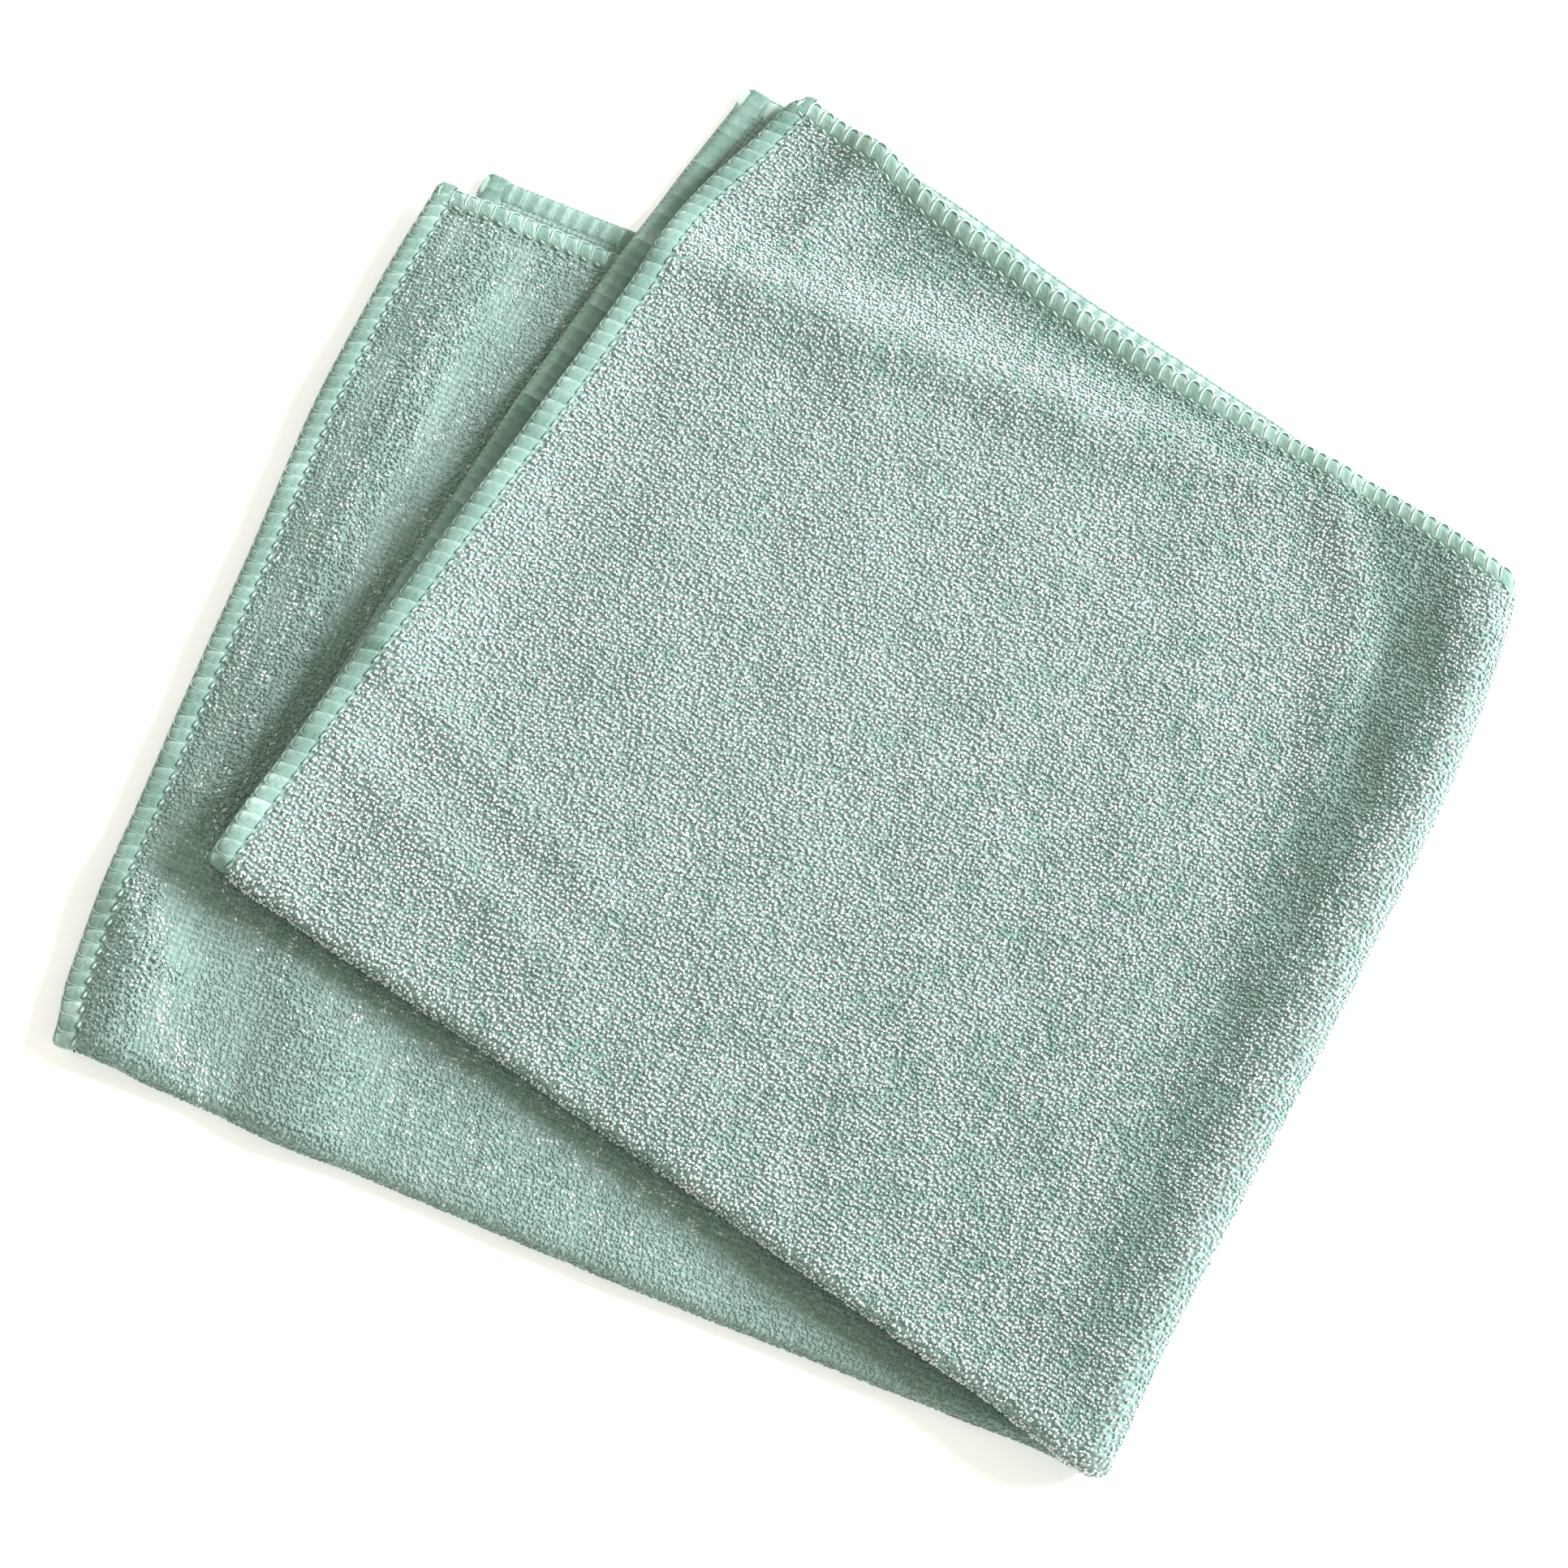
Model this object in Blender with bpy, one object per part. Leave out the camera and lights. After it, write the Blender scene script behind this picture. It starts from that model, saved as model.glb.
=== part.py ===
"""Square microfibre cloth, folded in four and lying flat.

The cloth is one sheet. It is folded once in half, which makes the bottom fold, and then in half again
over a slightly slanted crease, which makes the right hand fold. The four layers are called, from the
surface up: bottom, second, third and top. The second and the third come from one half of the cloth
(the inner half), and the bottom and the top from the other (the outer half).

Positions on the open cloth are "along" (0 to SIDE, along the first fold line) and "across"
(-SIDE / 2 to SIDE / 2, positive on the inner half). Shapes are worked out in millimetres.
"""

import bpy
import bmesh
import numpy as np

# Driving sizes, in millimetres
SIDE = 406.0            # side of the open square cloth
SHEET = 2.0             # thickness of the cloth
GAP = 0.8               # air between two layers
PITCH = SHEET + GAP     # from the middle of one layer to the middle of the next
FLOOR_GAP = 0.4         # air under the layers that hang past the layers below them
BAND = 5.0              # width of the sewn edge band, with the needle line on its inner side
CREASE_AT = 209.0       # where the crease meets the first fold line, from the left hand edge
CREASE_TILT = 6.8       # slant of the crease, degrees
SLIP_HEIGHT = 80.0      # height over which the layers slide on each other along the crease
BULGE_WIDTH = 60.0      # width beside the crease that follows its bow
EDGE_FADE = 110.0       # width beside an open edge that follows its bow
STEP_START = 197.0      # the upper layers step down past the lower layers' head edges, between
STEP_END = 222.0        # these two heights of the plan
STEP_RIGHT = 222.0      # the step fades out towards the crease, from here
STEP_RIGHT_FADE = 60.0  # over this width
STEP_LEAN = 0.12        # extra upright distance of the layers where they slope most
NUDGE = 0.05            # step along the cloth that shows which way its surface faces
SHARP_ANGLE = 50.0      # edges that turn more than this are shaded sharp, degrees
QUARTER = np.pi / 2     # a quarter turn
MM = 0.001              # one millimetre in metres

# Thickness of the cloth by its distance in from an open edge: the edge is rounded over, the sewn band
# is full, and the needle line pinches the cloth
BAND_SECTION = {"in_mm": (0, 0.5, 1.6, 3.2, BAND - 0.6, BAND + 0.2, 6.6),
                "thick_mm": (1.2, 1.7, SHEET, SHEET, 1.8, 1.5, SHEET)}

# Grid lines of the sheet, in millimetres
EDGE_LINES = BAND_SECTION["in_mm"]
FOLD_LINES = (4.5, 8.5, 15.0)
CREASE_LINES = (4.0, 8.5, 14.0, 21.0)
ARC_STEPS = 4           # grid steps in a quarter turn of a fold
ROW_STEPS = 9           # wide grid rows in half the cloth, below the step
STEP_ROW_AT = 145.0     # where the narrow grid rows of the step begin
STEP_ROWS = 8           # narrow grid rows over the step
COLUMN_STEPS = 12       # even grid columns on each side of the crease

# How far each open edge lies outside its straight line, by its distance up from the first fold
LEFT_EDGE_SECOND = {"up_mm": (0, 10, 30, 60, 100, 137, 170, 200),
                    "out_mm": (0, 1.5, 2.5, 2.5, 2.5, 3, 1.5, -2)}
LEFT_EDGE_BOTTOM = {"up_mm": (0, 40, 100, 200),
                    "out_mm": (0, 0.5, 0.5, -5.5)}
RIGHT_EDGE_THIRD = {"up_mm": (0, 40, 80, 110, 150, 175, 200),
                    "out_mm": (4, 5.5, 8, 10.5, 12.5, 14, 14)}
RIGHT_EDGE_TOP = {"up_mm": (0, 20, 60, 100, 140, 165, 185, 200),
                  "out_mm": (4, 5, 8, 9.5, 11, 13, 10.5, 9)}

# How far each head edge lies outside its straight line, by its place along the cloth
HEAD_EDGE_INNER = {"along_mm": (0, 60, 200, 295, 335, 365, 406),
                   "out_mm": (-4, -4, -1, 2, 1.5, 3, 1)}
HEAD_EDGE_OUTER = {"along_mm": (0, 180, 230, 255, 295, 330, 365, 386, 406),
                   "out_mm": (2.5, 2, -1.5, 0.5, -1.5, -3.5, -1.5, 2.5, 5)}

# How far the first fold lies inside its straight line, by its place along the cloth
FIRST_FOLD = {"along_mm": (0, 25, 80, 120, 196, 218, 336, 396, 406),
              "in_mm": (6, 5, 4, 3.5, 3.5, 0.5, 1, 0, 1)}

# How far the crease lies outside its straight line, by its distance up from the first fold
CREASE = {"up_mm": (0, 25, 60, 100, 140, 165, 185, 200),
          "out_mm": (-3.5, -3.5, -2.5, -1.5, -1, -1.5, -3.5, -5.5)}

# Soft swells: a ridge from one plan point to the other, carried by a layer and by those above it
SWELL_COLUMNS = ("layer", "x0", "y0", "x1", "y1", "half_width", "rise")
SWELLS = (
    ("second", 8, 180, 7, 60, 7, 1.6),
    ("second", 0, 34, 21, 2, 7, 1.8),
    ("second", 27, 40, 50, 4, 8, 1.0),
    ("third", 12, 44, 24, 96, 12, 2.2),
    ("third", 64, 246, 215, 208, 6, 1.2),
    ("third", 45, 199, 215, 199, 6, 0.8),
    ("top", 14, 47, 45, 205, 7, 1.4),
    ("top", 221, 186, 204, 22, 8, 2.8),
    ("top", 78, 240, 70, 214, 5, 1.4),
)

# Radius of the rounded corner of each layer
CORNER_ROUND = {"second": 1.5, "bottom": 3.0, "third": 1.5, "top": 6.0}


def smooth_step(value):
    """Ease from 0 to 1 as the value goes from 0 to 1."""
    value = np.clip(value, 0.0, 1.0)
    return value * value * (3.0 - 2.0 * value)


def read_table(table, where):
    """Smooth curve through a table of two columns."""
    knots, values = (np.array(column, dtype=float) for column in table.values())
    rises = np.diff(values) / np.diff(knots)
    both = rises[:-1] * rises[1:]
    inside = np.where(both > 0.0, 2.0 * both / (rises[:-1] + rises[1:] + (both <= 0.0)), 0.0)
    slopes = np.concatenate([rises[:1], inside, rises[-1:]])
    where = np.clip(where, knots[0], knots[-1])
    left = np.clip(np.searchsorted(knots, where) - 1, 0, len(knots) - 2)
    width = knots[left + 1] - knots[left]
    part = (where - knots[left]) / width
    rest = 1.0 - part
    return (rest * rest * ((1.0 + 2.0 * part) * values[left] + part * width * slopes[left])
            + part * part * ((3.0 - 2.0 * part) * values[left + 1] - rest * width * slopes[left + 1]))


def swell_height(layer, x, y):
    """Sum of the soft ridges that start at one layer."""
    total = np.zeros_like(x)
    for row in SWELLS:
        swell = dict(zip(SWELL_COLUMNS, row))
        if swell["layer"] != layer:
            continue
        run_x = swell["x1"] - swell["x0"]
        run_y = swell["y1"] - swell["y0"]
        part = ((x - swell["x0"]) * run_x + (y - swell["y0"]) * run_y) / (run_x ** 2 + run_y ** 2)
        part = np.clip(part, 0.0, 1.0)
        away = np.hypot(x - swell["x0"] - part * run_x, y - swell["y0"] - part * run_y)
        total = total + swell["rise"] * np.exp(-(away / swell["half_width"]) ** 2)
    return total


def layer_heights(x, y):
    """Heights of the middles of the four layers over a point of the plan."""
    bottom = np.full_like(x, SHEET / 2)
    second = bottom + PITCH + swell_height("second", x, y)
    past = smooth_step((y - STEP_START) / (STEP_END - STEP_START))
    past = past * smooth_step((STEP_RIGHT - x) / STEP_RIGHT_FADE)
    third = (second + PITCH) * (1.0 - past) + (SHEET / 2 + FLOOR_GAP) * past
    third = third + swell_height("third", x, y)
    lean = 1.0 + STEP_LEAN * 4.0 * past * (1.0 - past)
    top = third + PITCH * lean + swell_height("top", x, y)
    return bottom, second, third, top


def round_corner(from_side, from_head, radius):
    """Pull the square tip of a corner in to a round one."""
    tip_side = np.clip(radius - from_side, 0.0, None)
    tip_head = np.clip(radius - from_head, 0.0, None)
    reach = np.hypot(tip_side, tip_head)
    scale = np.maximum(tip_side, tip_head) / np.where(reach > 0.0, reach, 1.0)
    scale = np.where(reach > 0.0, scale, 1.0)
    return tip_side * (1.0 - scale), tip_head * (1.0 - scale)


def crease_arc(up, inner):
    """Length of cloth in a quarter turn at the crease. The layers share it at the first fold, and
    further up each has its own, because they slide on each other."""
    shared = PITCH * QUARTER
    own = PITCH * (1.5 - inner) * QUARTER
    return shared + (own - shared) * smooth_step(up / SLIP_HEIGHT)


def over_crease(along, up, inner):
    """Place of a point that lies `up` from the first fold line, with the cloth folded at the crease."""
    tilt = np.radians(CREASE_TILT)
    past = (along - CREASE_AT) * np.cos(tilt) - up * np.sin(tilt)
    up_crease = (along - CREASE_AT) * np.sin(tilt) + up * np.cos(tilt)
    radius = PITCH * (1.5 - inner)
    crease_x = CREASE_AT - PITCH * QUARTER
    arc = crease_arc(up, inner)
    turn = np.clip(past / arc, -1.0, 1.0) * QUARTER
    bulge = read_table(CREASE, up_crease) * np.exp(-(past / BULGE_WIDTH) ** 2)
    out = radius * np.cos(turn) - np.clip(np.abs(past) - arc, 0.0, None)
    flat_out = np.minimum(out, 0.0) + bulge
    out = out + bulge
    flat_up = np.clip(up_crease, 0.0, None)
    x = crease_x + up_crease * np.sin(tilt) + out * np.cos(tilt)
    y = up_crease * np.cos(tilt) - out * np.sin(tilt)
    flat_x = crease_x + up_crease * np.sin(tilt) + flat_out * np.cos(tilt)
    flat_y = flat_up * np.cos(tilt) - flat_out * np.sin(tilt)
    bottom, second, third, top = layer_heights(flat_x, flat_y)
    behind = bottom * (1.0 - inner) + second * inner
    front = top * (1.0 - inner) + third * inner
    z = (behind + front) / 2 + (front - behind) / 2 * np.sin(turn)
    return x, y, z


def fold_radius(along):
    """Radius of the first fold: half the way between the two layers that it joins."""
    on_fold = np.zeros_like(along)
    outer = over_crease(along, on_fold, np.zeros_like(along))[2]
    inner = over_crease(along, on_fold, np.ones_like(along))[2]
    return np.abs(inner - outer) / 2


def middle(along, across):
    """Place of a point of the cloth's middle surface on the folded cloth."""
    # First fold: 1 on the inner half, 0 on the outer half, a half turn between them
    radius = np.maximum(fold_radius(along), PITCH / 2)
    arc = radius * QUARTER
    turn = np.clip(across / arc, -1.0, 1.0) * QUARTER
    inner = (1.0 + np.sin(turn)) / 2
    up = np.clip(np.abs(across) - arc, 0.0, None) - radius * np.cos(turn)
    reach = np.clip(up / (SIDE / 2 - arc), 0.0, 1.0)

    # Open edges that bow in and out
    top_up = np.clip(up, 0.0, None)
    from_left = along
    from_right = SIDE - along
    left_fade = 1.0 - smooth_step(from_left / EDGE_FADE)
    right_fade = 1.0 - smooth_step(from_right / EDGE_FADE)
    left_out = (inner * read_table(LEFT_EDGE_SECOND, top_up)
                + (1.0 - inner) * read_table(LEFT_EDGE_BOTTOM, top_up))
    right_out = (inner * read_table(RIGHT_EDGE_THIRD, top_up)
                 + (1.0 - inner) * read_table(RIGHT_EDGE_TOP, top_up))
    head_out = (inner * read_table(HEAD_EDGE_INNER, along)
                + (1.0 - inner) * read_table(HEAD_EDGE_OUTER, along))
    shift_along = right_out * right_fade - left_out * left_fade
    shift_up = read_table(FIRST_FOLD, along) * (1.0 - reach) + head_out * smooth_step(reach)

    # Rounded corners
    from_head = SIDE / 2 - np.abs(across)
    left_radius = np.where(across > 0.0, CORNER_ROUND["second"], CORNER_ROUND["bottom"])
    right_radius = np.where(across > 0.0, CORNER_ROUND["third"], CORNER_ROUND["top"])
    side_left, head_left = round_corner(from_left, from_head, left_radius)
    side_right, head_right = round_corner(from_right, from_head, right_radius)
    along = along + shift_along + side_left - side_right
    up = up + shift_up - head_left - head_right
    return np.stack(over_crease(along, up, inner), axis=-1)


def sheet_thickness(along, across):
    """Thickness of the cloth: full in the body, pinched at the needle line and at the rim."""
    edge = np.minimum(np.minimum(along, SIDE - along), SIDE / 2 - np.abs(across))
    return np.interp(edge, BAND_SECTION["in_mm"], BAND_SECTION["thick_mm"])


def folded(along, across, face):
    """Place of a point of one face of the folded cloth: face is 1 on the outer face and -1 inside."""
    forward = middle(along + NUDGE, across) - middle(along - NUDGE, across)
    sideways = middle(along, across + NUDGE) - middle(along, across - NUDGE)
    normal = np.cross(forward, sideways)
    normal = normal / np.linalg.norm(normal, axis=-1, keepdims=True)
    offset = face * sheet_thickness(along, across) / 2
    return middle(along, across) + normal * offset[:, None]


def row_places():
    """Grid rows, from one head edge over the first fold to the other."""
    arc = PITCH / 2 * QUARTER
    half = list(arc * np.arange(1, ARC_STEPS + 1) / ARC_STEPS) + list(FOLD_LINES)
    last = SIDE / 2 - EDGE_LINES[-1]
    half += list(np.linspace(FOLD_LINES[-1], STEP_ROW_AT, ROW_STEPS + 1)[1:])
    half += list(np.linspace(STEP_ROW_AT, last, STEP_ROWS + 1)[1:])
    half += [SIDE / 2 - line for line in reversed(EDGE_LINES[:-1])]
    half = np.array(half)
    return np.concatenate([-half[::-1], [0.0], half])


def column_places(across):
    """Grid columns at each row; near the crease they run along it."""
    tilt = np.radians(CREASE_TILT)
    fold_arc = PITCH / 2 * QUARTER
    up = np.clip(np.abs(across) - fold_arc, 0.0, None)
    inner = (1.0 + np.sin(np.clip(across / fold_arc, -1.0, 1.0) * QUARTER)) / 2
    arc = crease_arc(up, inner) / np.cos(tilt)
    crease = CREASE_AT + up * np.tan(tilt)
    near = [arc * part for part in np.arange(1, ARC_STEPS + 1) / ARC_STEPS]
    near += [arc + line for line in CREASE_LINES]
    left = [np.full_like(across, line) for line in EDGE_LINES]
    right = [np.full_like(across, SIDE - line) for line in EDGE_LINES]
    for part in np.arange(1, COLUMN_STEPS) / COLUMN_STEPS:
        left.append(EDGE_LINES[-1] * (1.0 - part) + (crease - near[-1]) * part)
        right.append((SIDE - EDGE_LINES[-1]) * (1.0 - part) + (crease + near[-1]) * part)
    left += [crease - place for place in reversed(near)]
    right += [crease + place for place in reversed(near)]
    return np.stack(left + [crease] + right[::-1])


# Start from an empty scene
for item in list(bpy.data.objects):
    bpy.data.objects.remove(item, do_unlink=True)

# Mint green microfibre
microfibre = bpy.data.materials.new("microfibre")
microfibre.use_nodes = True
shader = microfibre.node_tree.nodes["Principled BSDF"]
shader.inputs["Base Color"].default_value = (0.40, 0.56, 0.50, 1.0)
shader.inputs["Roughness"].default_value = 0.95
shader.inputs["Metallic"].default_value = 0.0

# A flat slab of cloth: one grid, pulled up into a closed block, then every point is folded
rows = row_places()
columns = column_places(rows)
column_count = columns.shape[0]
row_count = len(rows)
slab = bmesh.new()
bmesh.ops.create_grid(slab, x_segments=column_count - 1, y_segments=row_count - 1, size=1.0)
raised = bmesh.ops.extrude_face_region(slab, geom=list(slab.faces))
raised_points = {item for item in raised["geom"] if isinstance(item, bmesh.types.BMVert)}
points = list(slab.verts)
column = np.array([round((point.co.x + 1.0) / 2.0 * (column_count - 1)) for point in points])
row = np.array([round((point.co.y + 1.0) / 2.0 * (row_count - 1)) for point in points])
face = np.array([1.0 if point in raised_points else -1.0 for point in points])
places = folded(columns[column, row], rows[row], face)

# The origin is the middle of the underside
low = places.min(axis=0)
high = places.max(axis=0)
places = (places - np.array([(low[0] + high[0]) / 2, (low[1] + high[1]) / 2, low[2]])) * MM
for point, place in zip(points, places):
    point.co = place
bmesh.ops.recalc_face_normals(slab, faces=list(slab.faces))

cloth_mesh = bpy.data.meshes.new("cloth")
slab.to_mesh(cloth_mesh)
slab.free()
cloth_mesh.materials.append(microfibre)
cloth_mesh.shade_smooth()
cloth_mesh.set_sharp_from_angle(angle=np.radians(SHARP_ANGLE))
cloth = bpy.data.objects.new("cloth", cloth_mesh)
bpy.context.scene.collection.objects.link(cloth)
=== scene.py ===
import math

import bmesh
import bpy
import numpy as np
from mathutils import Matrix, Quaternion, Vector


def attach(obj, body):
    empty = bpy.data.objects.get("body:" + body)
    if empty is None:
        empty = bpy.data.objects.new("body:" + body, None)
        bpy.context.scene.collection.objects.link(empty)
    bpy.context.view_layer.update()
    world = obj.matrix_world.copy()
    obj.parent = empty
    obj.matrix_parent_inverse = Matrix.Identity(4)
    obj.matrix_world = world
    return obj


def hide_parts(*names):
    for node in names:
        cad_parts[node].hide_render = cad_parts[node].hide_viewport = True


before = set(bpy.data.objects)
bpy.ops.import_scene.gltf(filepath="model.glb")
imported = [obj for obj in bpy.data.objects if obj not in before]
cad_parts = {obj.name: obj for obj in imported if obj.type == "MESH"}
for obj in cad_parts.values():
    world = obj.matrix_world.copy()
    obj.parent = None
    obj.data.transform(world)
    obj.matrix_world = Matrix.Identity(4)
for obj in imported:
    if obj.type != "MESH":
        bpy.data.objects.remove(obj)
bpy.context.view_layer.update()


# ---------------------------------------------------------------------------------------------------
# The cloth. One square of looped microfibre knit, folded in half, which makes the bottom fold, and in
# half again over a slanted crease, which makes the right hand fold. It has four layers, from the
# floor up: bottom, second, third and top. Second and third are its inner half.
# ---------------------------------------------------------------------------------------------------

# Sizes in millimetres. A place on the open cloth is "along" (0 to SIDE, along the first fold line) and
# "across" (-SIDE / 2 to SIDE / 2, positive on the inner half)
MM = 0.001
SIDE = 406.0
LAYER = 2.0             # thickness of the cloth with its loops
GAP = 0.8               # air between two layers
PITCH = LAYER + GAP
FLOOR_GAP = 0.4         # air under the third layer where it is down on the floor
ON_FLOOR = 0.02         # nothing lies lower than this
GROUND = 1.3            # thickness of the knit without its loops
CREASE_AT = 209.0       # where the crease starts on the first fold line
CREASE_TILT = math.radians(6.8)     # and how far it leans off square to that line
CREASE_TURN = 1.5       # radius of the outer half's turn at the crease, in pitches; the inner's is 1 less
SLIP_HEIGHT = 80.0      # from this far up the crease each layer has its own length in it
BULGE_WIDTH = 60.0      # how far from the crease its bulge is felt
EDGE_FADE = 110.0       # how far from an open edge its bow is felt
STEP_START = 196.0      # in plan, where the front begins to step down past the back's head edges
STEP_END = 215.0        # and where it is down
STEP_RIGHT = 222.0      # the step runs out here, towards the crease
STEP_RIGHT_FADE = 60.0  # over this length
STEP_LEAN = 0.12        # how much further apart the layers are on the slope of the step
QUARTER = np.pi / 2
NUDGE = 0.05            # step for working out the cloth's directions
PLAN_CENTRE = (111.51, 122.44)      # middle of the folded cloth, in plan

# How far each open edge, each head edge, the first fold and the crease lie outside a straight line
LEFT_EDGE_SECOND = {"up": (0, 10, 30, 60, 100, 137, 170, 200), "out": (0, 1.8, 2.4, 1.8, 1.8, 2.4, 1, -2)}
LEFT_EDGE_BOTTOM = {"up": (0, 40, 100, 200), "out": (0, 0.5, 0.5, -5.5)}
RIGHT_EDGE_THIRD = {"up": (0, 40, 80, 110, 150, 175, 200), "out": (4, 5.5, 8, 10.5, 12.5, 14, 14)}
RIGHT_EDGE_TOP = {"up": (0, 20, 60, 100, 140, 165, 185, 200), "out": (4, 5, 8, 9.5, 11, 13, 10.5, 9)}
HEAD_EDGE_INNER = {"along": (0, 60, 200, 255, 295, 335, 365, 406),
                   "out": (-4, -4, -2.5, -1, 1.7, 1.5, 3, -0.2)}
HEAD_EDGE_OUTER = {"along": (0, 180, 230, 255, 295, 330, 365, 386, 406),
                   "out": (4.2, 3.8, -3.6, -1.8, -2.2, -3.5, -1.8, 1.5, 2.8)}
FIRST_FOLD = {"along": (0, 4, 8, 12, 18, 25, 60, 90, 120, 196, 218, 336, 396, 406),
              "in": (6.6, 7.2, 7.7, 7.4, 6, 5.4, 4.4, 3.7, 3.2, 3, 0, 1, 0, 1)}
CREASE = {"up": (0, 25, 60, 100, 140, 165, 185, 200), "out": (-2.6, -3.2, -2.3, -1, -0.6, -1.3, -3.4, -5.5)}
CORNER_ROUND = {"second": 0.8, "bottom": 0.8, "third": 0.6, "top": 5.0}

# Soft ridges, each carried by a layer and by those above it: half its width, and its crest as plan
# points with their heights
RIDGES = (
    ("second", 7, ((15, 196, 1.0), (12, 180, 2.2), (11, 120, 2.5), (10, 58, 2.0))),
    ("second", 6, ((0, 40, 1.5), (4, 32, 2.6), (9, 22, 3.4), (17, 11, 3.4), (28, 3, 3.0))),
    ("second", 7, ((28, 40, 0.8), (40, 24, 1.4), (58, 5, 1.1))),
    ("third", 12, ((12, 44, 0.9), (24, 96, 1.8), (34, 150, 0.8))),
    ("third", 6, ((48, 196, 1.4), (122, 197, 1.5), (205, 199, 0.8))),
    ("third", 8, ((64, 248, 2.0), (102, 236, 2.0), (162, 221, 1.8), (216, 209, 1.2))),
    ("third", 4, ((30, 93, 1.1), (84, 66, 0.8))),
    ("third", 4, ((28, 74, 0.9), (78, 50, 0.7))),
    ("third", 4, ((84, 200, 0.8), (92, 182, 0.5))),
    ("third", 8, ((130, 17, 0.2), (162, 9, 0.9), (192, 1, 1.5))),
    ("top", 9, ((14, 46, 1.8), (27, 96, 2.8), (34, 150, 2.2), (45, 205, 2.0), (56, 238, 1.0))),
    ("top", 10, ((82, 243, 1.8), (102, 236, 3.4), (142, 226, 3.8), (182, 217, 3.2), (208, 211, 2.6))),
    ("top", 13, ((202, 0, 1.8), (204.6, 25, 3.2), (209.8, 60, 3.7), (215.6, 99, 4.6), (221, 139, 6.1),
                 (223.2, 164, 6.9), (223.6, 184, 6.4), (222, 202, 3.9))),
    ("top", 5, ((79, 240, 2.2), (70, 214, 1.4))),
    ("top", 4, ((186, 206, 0.8), (199, 180, 1.2), (202, 140, 0.8))),
)

# Waves all over the cloth: length, direction and start; each is UNEVEN_SHARE of its length high
UNEVEN = ((13, 0.3, 0.0), (17, 1.9, 2.1), (21, 2.6, 4.0), (26, 1.1, 1.2), (34, 0.1, 5.0), (43, 2.2, 3.1))
UNEVEN_SHARE = 0.0055


def smooth_step(value):
    """Ease from 0 to 1 as the value goes from 0 to 1."""
    value = np.clip(value, 0.0, 1.0)
    return value * value * (3.0 - 2.0 * value)


def read_table(table, where):
    """Smooth curve through a table of two columns."""
    knots, values = (np.array(column, dtype=float) for column in table.values())
    rises = np.diff(values) / np.diff(knots)
    both = rises[:-1] * rises[1:]
    inside = np.where(both > 0.0, 2.0 * both / (rises[:-1] + rises[1:] + (both <= 0.0)), 0.0)
    slopes = np.concatenate([rises[:1], inside, rises[-1:]])
    where = np.clip(where, knots[0], knots[-1])
    left = np.clip(np.searchsorted(knots, where) - 1, 0, len(knots) - 2)
    width = knots[left + 1] - knots[left]
    part = (where - knots[left]) / width
    rest = 1.0 - part
    return (rest * rest * ((1.0 + 2.0 * part) * values[left] + part * width * slopes[left])
            + part * part * ((3.0 - 2.0 * part) * values[left + 1] - rest * width * slopes[left + 1]))


def ridge_height(layer, x, y, ridges=RIDGES):
    """Sum of the soft ridges of a table that start at one layer."""
    total = np.zeros_like(x)
    for carrier, half_width, crest in ridges:
        if carrier != layer:
            continue
        ridge = np.zeros_like(x)
        for (x0, y0, rise0), (x1, y1, rise1) in zip(crest[:-1], crest[1:]):
            part = ((x - x0) * (x1 - x0) + (y - y0) * (y1 - y0)) / ((x1 - x0) ** 2 + (y1 - y0) ** 2)
            part = np.clip(part, 0.0, 1.0)
            away = np.hypot(x - x0 - part * (x1 - x0), y - y0 - part * (y1 - y0))
            height = (rise0 + (rise1 - rise0) * part) * np.exp(-(away / half_width) ** 2)
            ridge = np.where(np.abs(height) > np.abs(ridge), height, ridge)
        total = total + ridge
    return total


def unevenness(x, y):
    """Slight waves of cloth that was folded and handled."""
    total = np.zeros_like(x)
    for length, way, start in UNEVEN:
        run = x * math.cos(way) + y * math.sin(way)
        total = total + length * np.sin(run * 2.0 * math.pi / length + start)
    return total * UNEVEN_SHARE


def layer_heights(x, y):
    """Heights of the middles of the four layers over a point of the plan."""
    bottom = np.full_like(x, LAYER / 2)
    second = bottom + PITCH + ridge_height("second", x, y) + unevenness(x, y)
    past = smooth_step((y - STEP_START) / (STEP_END - STEP_START))
    past = past * smooth_step((STEP_RIGHT - x) / STEP_RIGHT_FADE)
    third = (second + PITCH) * (1.0 - past) + (LAYER / 2 + FLOOR_GAP) * past
    third = third + ridge_height("third", x, y)
    lean = 1.0 + STEP_LEAN * 4.0 * past * (1.0 - past)
    top = third + PITCH * lean + ridge_height("top", x, y)
    return bottom, second, third, top


def round_corner(from_side, from_head, radius):
    """Pull the square tip of a corner in to a round one."""
    tip_side = np.clip(radius - from_side, 0.0, None)
    tip_head = np.clip(radius - from_head, 0.0, None)
    reach = np.hypot(tip_side, tip_head)
    scale = np.maximum(tip_side, tip_head) / np.where(reach > 0.0, reach, 1.0)
    scale = np.where(reach > 0.0, scale, 1.0)
    return tip_side * (1.0 - scale), tip_head * (1.0 - scale)


def crease_arc(up, inner):
    """Length of cloth in a quarter turn at the crease. The layers share it at the first fold, and
    further up each has its own, because they slide on each other."""
    shared = PITCH * QUARTER
    own = PITCH * (CREASE_TURN - inner) * QUARTER
    return shared + (own - shared) * smooth_step(up / SLIP_HEIGHT)


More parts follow.
